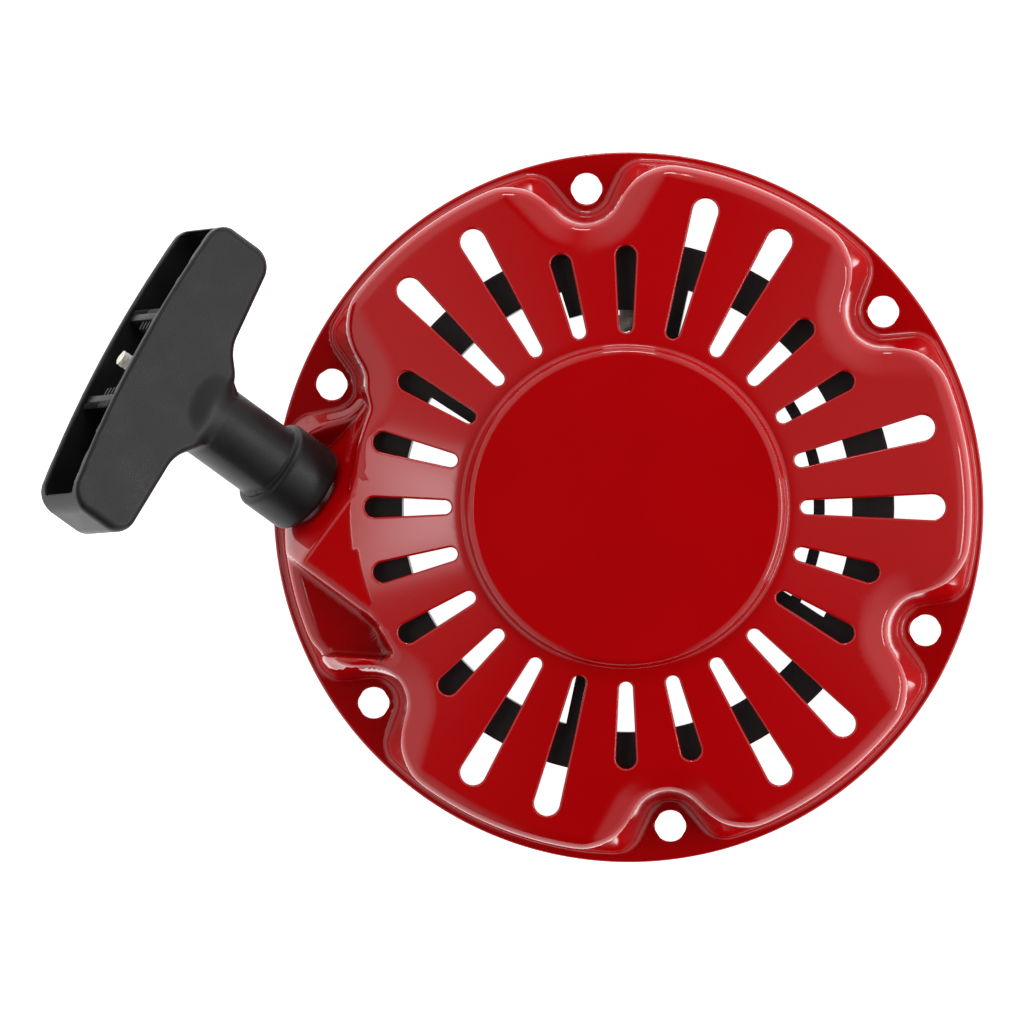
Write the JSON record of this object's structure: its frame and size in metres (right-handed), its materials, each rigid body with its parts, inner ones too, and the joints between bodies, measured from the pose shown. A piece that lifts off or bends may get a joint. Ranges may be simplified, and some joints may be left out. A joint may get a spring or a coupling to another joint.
{
  "type": "recoil starter",
  "caption": "Round pressed steel pull-start unit with radial cooling slots, spring-returned rope reel, ratchets and a T-shaped pull handle on a rope.",
  "frame": {"origin": "centre of the bolt circle on the flange's underside, on the reel's axis", "axes": "+Z out of the cover's face along the reel's axis, away from the engine; +X and +Y across the flange, the rope leaving towards -X and +Y"},
  "size_m": [0.2576, 0.195, 0.0654],
  "materials": {
    "case_paint": "gloss",
    "guide_steel": "zinc plated",
    "post_steel": "machined",
    "screw_steel": "zinc plated",
    "spring_steel": "drawn wire",
    "mainspring_steel": "oiled strip",
    "reel_plastic": "moulded",
    "ratchet_steel": "sintered",
    "guide_plastic": "moulded",
    "rope_fibre": "braided",
    "handle_plastic": "fine grain"
  },
  "bodies": {
    "case": {"starter_case": "case_paint", "rope_guide": "guide_steel", "centre_post": "post_steel", "setting_screw": "screw_steel", "friction_spring": "spring_steel", "rope_run": "rope_fibre"},
    "reel_group": {"reel": "reel_plastic", "mainspring": "mainspring_steel", "rope_turns": "rope_fibre", "rope_knot_reel": "rope_fibre", "ratchet_spring_a": "spring_steel", "ratchet_spring_b": "spring_steel"},
    "ratchet_a_group": {"ratchet_a": "ratchet_steel"},
    "ratchet_b_group": {"ratchet_b": "ratchet_steel"},
    "guide_group": {"ratchet_guide": "guide_plastic"},
    "handle_group": {"handle": "handle_plastic", "rope_in_handle": "rope_fibre", "rope_knot_handle": "rope_fibre"}
  },
  "joints": [
    {"name": "reel_spin", "type": "hinge", "parent": "case", "child": "reel_group", "pos_m": [0, 0, 0.013], "axis": [0, 0, -1], "range_deg": [0, 1260], "stiffness_Nm_per_rad": 0.068, "springref_deg": -676.09, "deforming": ["mainspring"]},
    {"name": "handle_pull", "type": "slide", "parent": "case", "child": "handle_group", "axis": [-0.7216, 0.5359, 0.4384], "range_m": [0, 1.5]},
    {"name": "ratchet_a_swing", "type": "hinge", "parent": "reel_group", "child": "ratchet_a_group", "pos_m": [0.017, 0, 0.012], "axis": [0, 0, 1], "range_deg": [0, 30], "stiffness_Nm_per_rad": 0.02, "springref_deg": -22.92, "deforming": ["ratchet_spring_a"]},
    {"name": "ratchet_b_swing", "type": "hinge", "parent": "reel_group", "child": "ratchet_b_group", "pos_m": [-0.017, 0, 0.012], "axis": [0, 0, 1], "range_deg": [0, 30], "stiffness_Nm_per_rad": 0.02, "springref_deg": -22.92, "deforming": ["ratchet_spring_b"]},
    {"name": "guide_turn", "type": "hinge", "parent": "reel_group", "child": "guide_group", "pos_m": [0, 0, 0.007], "axis": [0, 0, 1], "range_deg": [0, 40.01]}
  ],
  "couplings": [
    {"joint": "handle_pull", "follows": "reel_spin", "m_per_rad": 0.068},
    {"joint": "ratchet_b_swing", "follows": "ratchet_a_swing", "ratio": 1},
    {"joint": "guide_turn", "follows": "ratchet_a_swing", "ratio": 1.3333}
  ]
}
